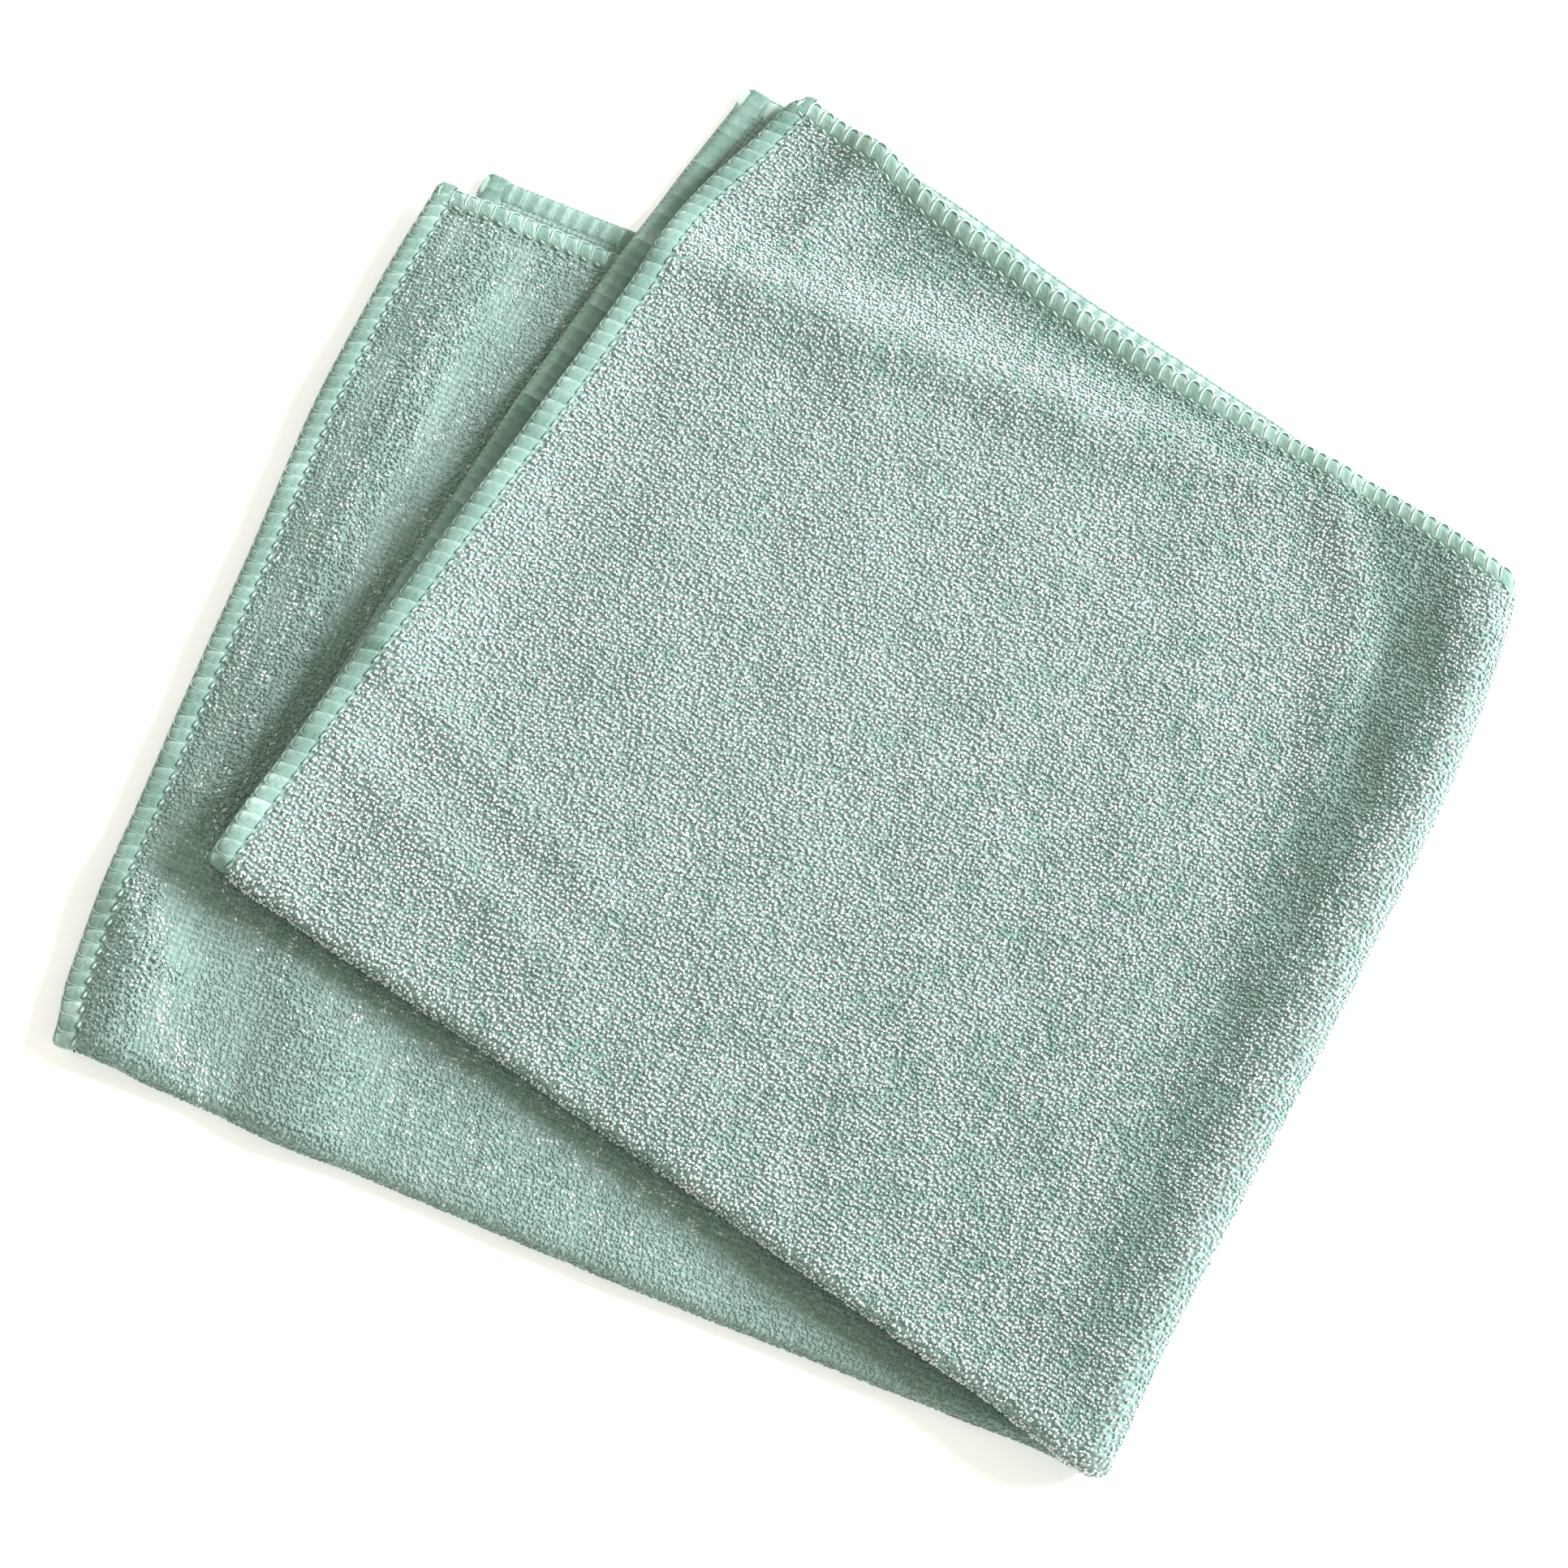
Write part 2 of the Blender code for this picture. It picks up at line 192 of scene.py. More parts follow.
def over_crease(along, up, inner):
    """Place of a point that lies `up` from the first fold line, with the cloth folded at the crease."""
    cosine = np.cos(CREASE_TILT)
    sine = np.sin(CREASE_TILT)
    past = (along - CREASE_AT) * cosine - up * sine
    up_crease = (along - CREASE_AT) * sine + up * cosine
    radius = PITCH * (CREASE_TURN - inner)
    crease_x = CREASE_AT - PITCH * QUARTER
    arc = crease_arc(up, inner)
    turn = np.clip(past / arc, -1.0, 1.0) * QUARTER
    bulge = read_table(CREASE, up_crease) * np.exp(-(past / BULGE_WIDTH) ** 2)
    out = radius * np.cos(turn) - np.clip(np.abs(past) - arc, 0.0, None)
    flat_out = np.minimum(out, 0.0) + bulge
    out = out + bulge
    flat_up = np.clip(up_crease, 0.0, None)
    x = crease_x + up_crease * sine + out * cosine
    y = up_crease * cosine - out * sine
    flat_x = crease_x + up_crease * sine + flat_out * cosine
    flat_y = flat_up * cosine - flat_out * sine
    bottom, second, third, top = layer_heights(flat_x, flat_y)
    behind = bottom * (1.0 - inner) + second * inner
    front = top * (1.0 - inner) + third * inner
    z = (behind + front) / 2 + (front - behind) / 2 * np.sin(turn)
    return x, y, z


def fold_radius(along):
    """Radius of the first fold: half the way between the two layers that it joins."""
    on_fold = np.zeros_like(along)
    outer = over_crease(along, on_fold, np.zeros_like(along))[2]
    inner = over_crease(along, on_fold, np.ones_like(along))[2]
    return np.abs(inner - outer) / 2


def middle(along, across):
    """Place of a point of the cloth's middle surface on the folded cloth."""
    radius = np.maximum(fold_radius(along), PITCH / 2)
    arc = radius * QUARTER
    turn = np.clip(across / arc, -1.0, 1.0) * QUARTER
    inner = (1.0 + np.sin(turn)) / 2
    up = np.clip(np.abs(across) - arc, 0.0, None) - radius * np.cos(turn)
    reach = np.clip(up / (SIDE / 2 - arc), 0.0, 1.0)

    # Open edges that bow in and out
    top_up = np.clip(up, 0.0, None)
    left_fade = 1.0 - smooth_step(along / EDGE_FADE)
    right_fade = 1.0 - smooth_step((SIDE - along) / EDGE_FADE)
    left_out = (inner * read_table(LEFT_EDGE_SECOND, top_up)
                + (1.0 - inner) * read_table(LEFT_EDGE_BOTTOM, top_up))
    right_out = (inner * read_table(RIGHT_EDGE_THIRD, top_up)
                 + (1.0 - inner) * read_table(RIGHT_EDGE_TOP, top_up))
    head_out = (inner * read_table(HEAD_EDGE_INNER, along)
                + (1.0 - inner) * read_table(HEAD_EDGE_OUTER, along))
    shift_along = right_out * right_fade - left_out * left_fade
    taken = arc - PITCH / 2 * QUARTER
    shift_up = read_table(FIRST_FOLD, along) * (1.0 - reach) + (head_out + taken) * smooth_step(reach)

    # Rounded corners
    from_head = SIDE / 2 - np.abs(across)
    left_radius = np.where(across > 0.0, CORNER_ROUND["second"], CORNER_ROUND["bottom"])
    right_radius = np.where(across > 0.0, CORNER_ROUND["third"], CORNER_ROUND["top"])
    side_left, head_left = round_corner(along, from_head, left_radius)
    side_right, head_right = round_corner(SIDE - along, from_head, right_radius)
    along = along + shift_along + side_left - side_right
    up = up + shift_up - head_left - head_right
    return np.stack(over_crease(along, up, inner), axis=-1)


def directions(along, across):
    """Unit vectors along the cloth, across it and out of its outer face."""
    forward = middle(along + NUDGE, across) - middle(along - NUDGE, across)
    forward = forward / np.linalg.norm(forward, axis=-1, keepdims=True)
    sideways = middle(along, across + NUDGE) - middle(along, across - NUDGE)
    sideways = sideways / np.linalg.norm(sideways, axis=-1, keepdims=True)
    normal = np.cross(forward, sideways)
    normal = normal / np.linalg.norm(normal, axis=-1, keepdims=True)
    return forward, sideways, normal


def on_cloth(along, across, lift):
    """Place in metres of a point `lift` millimetres above the middle of the cloth, towards its outer
    face. A point past an edge goes straight on from it, and none is pressed below the floor."""
    held_along = np.clip(along, 0.0, SIDE)
    held_across = np.clip(across, -SIDE / 2, SIDE / 2)
    forward, sideways, normal = directions(held_along, held_across)
    place = middle(held_along, held_across) + normal * lift[..., None]
    place = place + forward * (along - held_along)[..., None]
    place = place + sideways * (across - held_across)[..., None]
    place[..., 2] = np.maximum(place[..., 2], ON_FLOOR)
    return (place - np.array([*PLAN_CENTRE, 0.0])) * MM


# Grid lines of the sheet: close at the edges, in the folds and on the half that faces up
EDGE_SECTION = {"in": (0, 0.4, 1.2, 2.4, 3.8, 5.2, 6.6),
                "thick": (0.7, 1.0, GROUND, GROUND, 1.2, 1.0, GROUND)}
FOLD_LINES = (4.5, 6.5, 8.5, 11.5, 15.0)
CREASE_LINES = (2.0, 4.0, 6.0, 8.5, 11.0, 14.0, 17.0, 21.0)
ARC_STEPS = 6           # grid steps in a quarter turn of a fold
BACK_STEPS = 44         # and in the flat cloth behind, in front and on the two halves
FRONT_STEPS = 70
INNER_STEPS = 42
OUTER_STEPS = 66


def row_places():
    """Grid rows, from one head edge over the first fold to the other."""
    fold_arc = PITCH / 2 * QUARTER
    halves = []
    for steps in (OUTER_STEPS, INNER_STEPS):
        half = list(fold_arc * np.arange(1, ARC_STEPS + 1) / ARC_STEPS) + list(FOLD_LINES)
        half += list(np.linspace(FOLD_LINES[-1], SIDE / 2 - EDGE_SECTION["in"][-1], steps + 1)[1:])
        half += [SIDE / 2 - line for line in reversed(EDGE_SECTION["in"][:-1])]
        halves.append(np.array(half))
    return np.concatenate([-halves[0][::-1], [0.0], halves[1]])


def column_places(across):
    """Grid columns at each row; near the crease they run along it."""
    fold_arc = PITCH / 2 * QUARTER
    up = np.clip(np.abs(across) - fold_arc, 0.0, None)
    inner = (1.0 + np.sin(np.clip(across / fold_arc, -1.0, 1.0) * QUARTER)) / 2
    arc = crease_arc(up, inner) / np.cos(CREASE_TILT)
    crease = CREASE_AT + up * np.tan(CREASE_TILT)
    near = [arc * part for part in np.arange(1, ARC_STEPS + 1) / ARC_STEPS]
    near += [arc + line for line in CREASE_LINES]
    edge = EDGE_SECTION["in"][-1]
    left = [np.full_like(across, line) for line in EDGE_SECTION["in"]]
    right = [np.full_like(across, SIDE - line) for line in EDGE_SECTION["in"]]
    for part in np.arange(1, BACK_STEPS) / BACK_STEPS:
        left.append(edge * (1.0 - part) + (crease - near[-1]) * part)
    for part in np.arange(1, FRONT_STEPS) / FRONT_STEPS:
        right.append((SIDE - edge) * (1.0 - part) + (crease + near[-1]) * part)
    left += [crease - place for place in reversed(near)]
    right += [crease + place for place in reversed(near)]
    return np.stack(left + [crease] + right[::-1])


def finished(name, mesh, material):
    """Put a finished mesh in the scene as a piece of the cloth."""
    mesh.name = name
    mesh.materials.clear()
    mesh.materials.append(material)
    piece = bpy.data.objects.new(name, mesh)
    bpy.context.scene.collection.objects.link(piece)
    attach(piece, "root")
    return piece


class Value:
    """One output of a shader node. A sum written with it adds the Math nodes that work it out."""

    def __init__(self, tree, socket=None):
        self.tree = tree
        self.socket = socket

    def add(self, kind, settings=None, inputs=None, output=0):
        """A new node of any kind: its settings first, then the values or links of its sockets."""
        node = self.tree.nodes.new(kind)
        for name, value in (settings or {}).items():
            setattr(node, name, value)
        for name, value in (inputs or {}).items():
            if isinstance(value, Value):
                self.tree.links.new(value.socket, node.inputs[name])
            else:
                node.inputs[name].default_value = value
        return Value(self.tree, node.outputs[output])

    def math(self, operation, first, second=0.0):
        return self.add("ShaderNodeMath", {"operation": operation}, {0: first, 1: second})

    def __add__(self, other):
        return self.math("ADD", self, other)

    def __radd__(self, other):
        return self.math("ADD", other, self)

    def __sub__(self, other):
        return self.math("SUBTRACT", self, other)

    def __rsub__(self, other):
        return self.math("SUBTRACT", other, self)

    def __mul__(self, other):
        return self.math("MULTIPLY", self, other)

    def __rmul__(self, other):
        return self.math("MULTIPLY", other, self)

    def sine(self):
        return self.math("SINE", self)

    def between(self, low, high):
        """0 below low, 1 above high and smooth between them."""
        return self.add("ShaderNodeMapRange", {"interpolation_type": "SMOOTHSTEP"},
                        {"Value": self, "From Min": low, "From Max": high})

    def mix(self, first, second):
        """One colour where this value is 0 and the other where it is 1."""
        return self.add("ShaderNodeMix", {"data_type": "RGBA"}, {0: self, 6: first, 7: second}, 2)

    def part(self, number):
        """Another output of the same node."""
        return Value(self.tree, self.socket.node.outputs[number])

    def drives(self, shader, name):
        """Link this value to a socket of the material's shader."""
        self.tree.links.new(self.socket, shader.inputs[name])


def new_material(name, roughness, sheen):
    """A plain matte material, its shader and a Value to start its node sums from."""
    material = bpy.data.materials.new(name)
    material.use_nodes = True
    shader = material.node_tree.nodes["Principled BSDF"]
    shader.inputs["Roughness"].default_value = roughness
    shader.inputs["Specular IOR Level"].default_value = 0.25
    shader.inputs["Sheen Weight"].default_value = sheen
    return material, shader, Value(material.node_tree)


# The knit under the loops: deep grey green, darker than the loops as painted shade in the gaps between
# them, with the courses and wales of the knit as fine ribs, and darker in its hollows as painted shade
COURSE = 1.3            # from one course of the knit to the next
WALE = 1.1              # from one wale of the knit to the next
COURSE_SHARE = 0.14     # how much each of them counts in the knit's relief, next to its uneven spots
WALE_SHARE = 0.1
SPOTS_IN_COURSE = 1.1   # how many such spots there are to a course
KNIT_SHADES = (0.2, 0.85)       # the relief where the knit is dark, and where it is light
KNIT_DEPTH = 0.6        # depth of the relief
GROUND_HOLLOW_SHADE = (0.21, 0.325, 0.285, 1.0)
GROUND_LIGHT = (0.33, 0.47, 0.42, 1.0)

ground_material, shader, start = new_material("microfibre_ground", roughness=0.95, sheen=0.1)
cloth_place = start.add("ShaderNodeUVMap", {"uv_map": "cloth"})
spots = start.add("ShaderNodeTexNoise", {"noise_dimensions": "2D"},
                  {"Vector": cloth_place, "Scale": SIDE / COURSE * SPOTS_IN_COURSE, "Detail": 2.0})
place_along = start.add("ShaderNodeSeparateXYZ", {}, {0: cloth_place})
place_across = place_along.part(1)
wales = (place_along * (SIDE / WALE * 2.0 * math.pi)).sine()
courses = (place_across * (SIDE / COURSE * 2.0 * math.pi)).sine()
knit = wales * WALE_SHARE + courses * COURSE_SHARE + spots
bump = start.add("ShaderNodeBump", {}, {"Height": knit, "Strength": 0.6, "Distance": KNIT_DEPTH * MM})
# The colour follows the relief: painted shade in the knit's hollows
knit.between(*KNIT_SHADES).mix(GROUND_HOLLOW_SHADE, GROUND_LIGHT).drives(shader, "Base Color")
bump.drives(shader, "Normal")

# A flat slab of cloth: one grid, pulled up into a closed block, then every point is folded
rows = row_places()
columns = column_places(rows)
column_count, row_count = columns.shape
slab = bmesh.new()
bmesh.ops.create_grid(slab, x_segments=column_count - 1, y_segments=row_count - 1, size=1.0)
raised = bmesh.ops.extrude_face_region(slab, geom=list(slab.faces))
raised_points = {item for item in raised["geom"] if isinstance(item, bmesh.types.BMVert)}
points = list(slab.verts)
column = np.array([round((point.co.x + 1.0) / 2.0 * (column_count - 1)) for point in points])
row = np.array([round((point.co.y + 1.0) / 2.0 * (row_count - 1)) for point in points])
face = np.array([1.0 if point in raised_points else -1.0 for point in points])
along = columns[column, row]
across = rows[row]
from_edge = np.minimum(np.minimum(along, SIDE - along), SIDE / 2 - np.abs(across))
thickness = np.interp(from_edge, EDGE_SECTION["in"], EDGE_SECTION["thick"])
for point, place in zip(points, on_cloth(along, across, face * thickness / 2)):
    point.co = place
bmesh.ops.recalc_face_normals(slab, faces=list(slab.faces))
cloth_map = slab.loops.layers.uv.new("cloth")
for index, point in enumerate(points):
    at = (along[index] / SIDE, across[index] / SIDE + 0.5)
    for corner in point.link_loops:
        corner[cloth_map].uv = at
sheet_mesh = bpy.data.meshes.new("cloth_sheet")
slab.to_mesh(sheet_mesh)
slab.free()
sheet_mesh.shade_smooth()
sheet = finished("cloth_sheet", sheet_mesh, ground_material)
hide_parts("cloth")


# ---------------------------------------------------------------------------------------------------
# The loops. Short loops of split microfibre stand on the knit's outer face, in its courses, and make
# the pale grainy surface. They are made on the faces that show; inside the folds they lie pressed.
# ---------------------------------------------------------------------------------------------------

LOOP_STEP = 0.68        # from one loop to the next in a course
LOOP_HALF = 0.52        # half of a loop's length
LOOP_WIDE = 0.29        # half of its yarn's width
LOOP_THICK = 0.28       # half of its yarn's height
LOOP_RISE = 0.42        # how high its yarn arches
LOOP_BEND = 0.22        # how far its yarn bows to one side
LOOP_STRAY = 0.30       # how far it strays from its place
LOOP_TURN = 62.0        # usual angle of a loop to its course, in degrees
LOOP_TURN_STRAY = 55.0
LENGTH_RANGE = (0.75, 1.25)     # the least and the most of the usual length, width and rise
WIDTH_RANGE = (0.8, 1.3)
RISE_RANGE = (0.6, 1.25)
LOOP_COURSE = 1.0       # from one row of loops to the next
FOLD_COURSE = 0.7       # closer rows round the first fold, where the cloth's outside is longer
FOLD_ROWS = 4           # such rows on each side of the fold line
PAST_FOLD = 4.0         # how far the loops of one half run on past the first fold line
PAST_CREASE = 9.0       # and those of the front past the crease
BARE_EDGE = 5.0         # width of the sewn edge, which has no loops
FRONT_LEFT = ((13.5, 46.5), (50.0, 246.0))       # left edge of the upper two layers, in plan
FRONT_FOLD = ((13.5, 46.5), (205.0, -2.0))       # their bottom fold
UNDER_FRONT = 5.0                                # how far the loops run on under those
LOOPS_IN_PIECE = 18600

# A loop's tone goes from 0 (mint) to 1 (pale). Patches and small clumps of loops differ from the next:
# each is the sum of many waves over the cloth
LOOP_TONE = 0.75
LOOP_TONE_STRAY = 0.12
TONE_RANGE = (0.03, 0.97)
PATCH_WAVES = {"waves": 20, "shortest": 0.5, "longest": 4.0, "evened": 3.0}
PATCH_TONE = 0.15
PATCH_RISE = 0.12
CLUMP_WAVES = {"waves": 24, "shortest": 0.2, "longest": 0.9, "evened": 3.5}
CLUMP_TONE = 0.2
CLUMP_RISE = 0.15
CLUMP_TURN = 25.0       # how far the loops of a clump turn together, in degrees

# A loop's colour also goes with its height, from 0 at its root to 1 at its top: painted shade at the
# root and a painted highlight at the top
LOOP_TIP_PALE = (0.95, 0.99, 1.0, 1.0)
LOOP_TIP_MINT = (0.33, 0.53, 0.47, 1.0)
LOOP_SIDE_PALE = (0.83, 0.90, 0.92, 1.0)
LOOP_SIDE_MINT = (0.245, 0.40, 0.355, 1.0)
LOOP_ROOT_SHADE = (0.25, 0.355, 0.32, 1.0)
ROOT_TO_SIDE = (0.1, 0.55)      # heights over which one colour goes over to the next
SIDE_TO_TIP = (0.45, 0.95)
LEVEL_ENDS = 0.12       # what a loop's ends count as
LEVEL_MIDDLE = 0.75     # so much more at its middle
UPPER_SIDE_HIGHLIGHT = 0.35      # and on its upper side, as painted highlight
LEVEL_RANGE = (0.01, 0.99)
MAP_LENGTH = 0.02       # length of a loop in its map, which keeps the map's faces open

# The half behind is more pressed. Its loops are flatter and thinner and stray further, and they carry
# painted shade: a deeper tone and colour. Their colour differs more from clump to clump and less from
# root to top
LYING_SHADE_TONE = -0.74
LYING_TONE_STRAY = 2.2
LYING_RISE = 0.2
LYING_THICK = 0.65
LYING_STRAY = 1.3
LYING_SHADE_LEVEL = 0.34
LYING_CLUMP = 0.3
LYING_EVEN = 0.78       # how far their colour goes from the height's own to that one
PAINTED_SHADE_LEVEL = 0.5        # painted shade: how much deeper in colour the loops of the shaded areas are
AREA_RISE = 0.3         # and how much flatter

# Painted shade and painted light on the loops, which are also made flatter where shaded and taller where
# lit: for the front or the back, half the width of the area, and its middle line as plan points with their
# tones
PAINTED_LIGHT_AND_SHADE = (
    ("front", 7, ((197, 206, -0.5), (208, 192, -1.3), (211, 172, -1.3), (208, 140, -1.0), (204, 110, -0.6),
                  (200, 80, -0.5), (198, 50, -0.5), (196, 25, -0.4), (194, 8, -0.2))),
    ("front", 4, ((225, 180, 0.0), (223, 160, 0.1), (220, 135, 0.2), (214, 95, 0.2), (207, 50, 0.2))),
    ("front", 10, ((72, 237, -0.3), (98, 229, -0.85), (140, 218, -0.75), (180, 210, -0.6), (203, 204, -0.2))),
    ("front", 7, ((60, 214, -0.1), (85, 213, -0.05), (120, 207, -0.05), (162, 201, -0.1))),
    ("front", 6, ((48, 190, -0.05), (90, 191, -0.25), (150, 190, -0.2), (180, 184, -0.1))),
    ("front", 13, ((20, 48, 0.7), (27, 80, 0.7), (32, 110, 0.6), (42, 160, 0.42), (50, 220, 0.28))),
    ("front", 60, ((70, 150, 0.12), (110, 160, 0.1), (120, 200, 0.05))),
    ("front", 45, ((120, 30, -0.1), (165, 45, -0.2), (185, 100, -0.14), (170, 160, -0.06))),
    ("back", 4, ((3, 37, 0.4), (9, 25, 0.6), (17, 13, 0.6), (30, 4, 0.5))),
    ("back", 6, ((18, 36, -0.3), (32, 20, -0.5), (46, 5, -0.4))),
    ("back", 6, ((6, 24, -0.2), (9, 9, -0.55), (20, 1, -0.5))),
    ("back", 6, ((14, 196, 0.1), (12, 150, 0.15), (9, 90, 0.15), (7, 55, 0.1))),
    ("back", 6, ((8, 52, -0.1), (19, 110, -0.1), (31, 175, -0.1))),
    ("back", 6, ((130, 14, -0.2), (160, 8, -0.8), (195, 2, -1.1))),
    ("back", 3, ((30, 2, -0.5), (60, 2, -0.8), (120, 1, -0.9), (196, -1, -0.9))),
)

chance = np.random.default_rng(11)


def repeated(shape, count):
    """A mesh of many copies of one shape, with the shape's own points for each copy."""
    single = bpy.data.meshes.new("single")
    shape.to_mesh(single)
    shape.free()
    holder = bpy.data.objects.new("holder", single)
    bpy.context.scene.collection.objects.link(holder)
    array = holder.modifiers.new("copies", "ARRAY")
    array.count = count
    array.use_relative_offset = False
    ready = holder.evaluated_get(bpy.context.evaluated_depsgraph_get())
    mesh = bpy.data.meshes.new_from_object(ready)
    bpy.data.objects.remove(holder)
    own = np.empty(len(mesh.vertices) * 3, np.float32)
    mesh.vertices.foreach_get("co", own)
    return mesh, own.reshape(count, -1, 3).astype(float)


def set_points(mesh, places):
    """Move all the points of a mesh."""
    mesh.vertices.foreach_set("co", places.astype(np.float32).ravel())
    mesh.update()


def set_map(mesh, name, u, v):
    """Give a mesh a UV map with one place for each point."""
    corners = np.empty(len(mesh.loops), np.int32)
    mesh.loops.foreach_get("vertex_index", corners)
    layer = mesh.uv_layers.new(name=name)
    layer.uv.foreach_set("vector", np.stack([u.ravel()[corners], v.ravel()[corners]], axis=1)
                         .astype(np.float32).ravel())


def side_of(line, x, y):
    """How far a plan point lies to the left of a line."""
    (x0, y0), (x1, y1) = line
    length = math.hypot(x1 - x0, y1 - y0)
    return ((x1 - x0) * (y - y0) - (y1 - y0) * (x - x0)) / length


def soft_waves(waves, shortest, longest, evened):
    """Uneven patches: the sum at each loop of many waves, each with its own way, length and start."""
    total = np.zeros(count)
    for wave in range(waves):
        way = chance.uniform(0.0, np.pi)
        run = along * math.cos(way) + across * math.sin(way)
        total += np.sin(run / chance.uniform(shortest, longest) + chance.uniform(0.0, 2.0 * np.pi))
    return total / evened


# Loops stand in rows along the courses; every second row is half a step on
fold_rows = np.arange(-FOLD_ROWS, FOLD_ROWS + 1) * FOLD_COURSE
loop_rows = np.arange(fold_rows[-1] + LOOP_COURSE, SIDE / 2 - BARE_EDGE, LOOP_COURSE)
loop_rows = np.concatenate([-loop_rows[::-1], fold_rows, loop_rows])
number, step = np.meshgrid(np.arange(len(loop_rows)), np.arange(BARE_EDGE, SIDE - BARE_EDGE, LOOP_STEP))
number = number.ravel()
across = loop_rows[number]
along = step.ravel() + 0.5 * LOOP_STEP * (number % 2)
x, y = middle(along, across)[:, :2].T
crease = CREASE_AT + np.abs(across) * math.tan(CREASE_TILT)
on_front = (along > crease - PAST_CREASE) & (across < PAST_FOLD)
on_back = (along < crease) & (across > -PAST_FOLD)
on_back &= (side_of(FRONT_LEFT, x, y) > -UNDER_FRONT) | (side_of(FRONT_FOLD, x, y) < UNDER_FRONT)
shown = on_front | on_back
along = along[shown]
across = across[shown]
x = x[shown]
y = y[shown]
lying = on_back[shown]
count = len(along)

# The size, place, turn and tone of each
patch = soft_waves(**PATCH_WAVES)
clump = soft_waves(**CLUMP_WAVES)
thick = np.where(lying, LOOP_THICK * LYING_THICK, LOOP_THICK)
stray = np.where(lying, LOOP_STRAY * LYING_STRAY, LOOP_STRAY)
along = along + chance.uniform(-1.0, 1.0, count) * stray
across = across + chance.uniform(-1.0, 1.0, count) * stray
length = LOOP_HALF * chance.uniform(*LENGTH_RANGE, count)
width = LOOP_WIDE * chance.uniform(*WIDTH_RANGE, count)
rise = LOOP_RISE * chance.uniform(*RISE_RANGE, count) * (1.0 + PATCH_RISE * patch + CLUMP_RISE * clump)
bow = LOOP_BEND * chance.uniform(-1.0, 1.0, count)
turn = np.radians(chance.normal(LOOP_TURN, LOOP_TURN_STRAY, count) + CLUMP_TURN * clump)
tone_stray = chance.normal(0.0, LOOP_TONE_STRAY, count) * np.where(lying, LYING_TONE_STRAY, 1.0)
tone = LOOP_TONE + PATCH_TONE * patch + tone_stray + CLUMP_TONE * clump
# Painted light and shade of the listed areas, added to each loop's tone; the half behind also gets its
# painted shade
light_and_shade_tone = np.where(lying, ridge_height("back", x, y, PAINTED_LIGHT_AND_SHADE), ridge_height("front", x, y, PAINTED_LIGHT_AND_SHADE))
tone = np.clip(tone + light_and_shade_tone + np.where(lying, LYING_SHADE_TONE, 0.0), *TONE_RANGE)
rise = np.where(lying, rise * LYING_RISE, rise) * (1.0 + AREA_RISE * np.clip(light_and_shade_tone, -1.0, 1.0))

# Colour of a loop: painted shade at its root, painted highlight at its top. The map holds its tone and
# its height
loop_material, shader, start = new_material("microfibre_loops", roughness=0.75, sheen=0.15)
loop_tone = start.add("ShaderNodeSeparateXYZ", {}, {0: start.add("ShaderNodeUVMap", {"uv_map": "OFBake"})})
loop_level = loop_tone.part(1)
pale = loop_tone.between(0.0, 1.0)
side_colour = loop_level.between(*ROOT_TO_SIDE).mix(LOOP_ROOT_SHADE, pale.mix(LOOP_SIDE_MINT, LOOP_SIDE_PALE))
loop_colour = loop_level.between(*SIDE_TO_TIP).mix(side_colour, pale.mix(LOOP_TIP_MINT, LOOP_TIP_PALE))
loop_colour.drives(shader, "Base Color")

# Each loop is a slender body of eight faces, bent into an arch that stands on the knit
loop_pieces = []
for first in range(0, count, LOOPS_IN_PIECE):
    part = slice(first, min(first + LOOPS_IN_PIECE, count))
    yarn = bmesh.new()
    bmesh.ops.create_uvsphere(yarn, u_segments=4, v_segments=2, radius=1.0)
    mesh, own = repeated(yarn, part.stop - part.start)
    arch = 1.0 - own[..., 2] ** 2
    own_x = own[..., 2] * length[part, None]
    own_y = own[..., 1] * width[part, None] + arch * bow[part, None]
    own_z = arch * rise[part, None] + own[..., 0] * thick[part, None]
    cosine = np.cos(turn)[part, None]
    sine = np.sin(turn)[part, None]
    run = own_x * cosine - own_y * sine
    wide = own_x * sine + own_y * cosine
    forward, sideways, normal = directions(along[part], across[part])
    base = on_cloth(along[part], across[part], np.full(part.stop - part.start, GROUND / 2))
    places = (base[:, None] + (run[..., None] * forward[:, None] + wide[..., None] * sideways[:, None]
                               + own_z[..., None] * normal[:, None]) * MM)
    places[..., 2] = np.maximum(places[..., 2], ON_FLOOR * MM)
    set_points(mesh, places.reshape(-1, 3))
    # Colour level: painted shade at the loop's ends, painted highlight at its middle and on its upper side
    level = LEVEL_ENDS + LEVEL_MIDDLE * arch + UPPER_SIDE_HIGHLIGHT * own[..., 0]
    lying_level = LYING_SHADE_LEVEL + LYING_CLUMP * clump[part, None]
    level = level + (lying_level - level) * LYING_EVEN * lying[part, None]
    level = level + PAINTED_SHADE_LEVEL * np.minimum(light_and_shade_tone[part, None], 0.0)
    level = np.clip(level, *LEVEL_RANGE)
    set_map(mesh, "OFBake", tone[part, None] + own[..., 2] * MAP_LENGTH, level)
    mesh.shade_smooth()
    loop_pieces.append(finished(f"cloth_loops_{len(loop_pieces) + 1}", mesh, loop_material))


# ---------------------------------------------------------------------------------------------------
# The edge sewing. An overlocked edge in bulky mint thread runs round the whole square: a bed of
# loops that wraps the rim, a thinner raised strand over each, and a line of needle stitches.
# ---------------------------------------------------------------------------------------------------

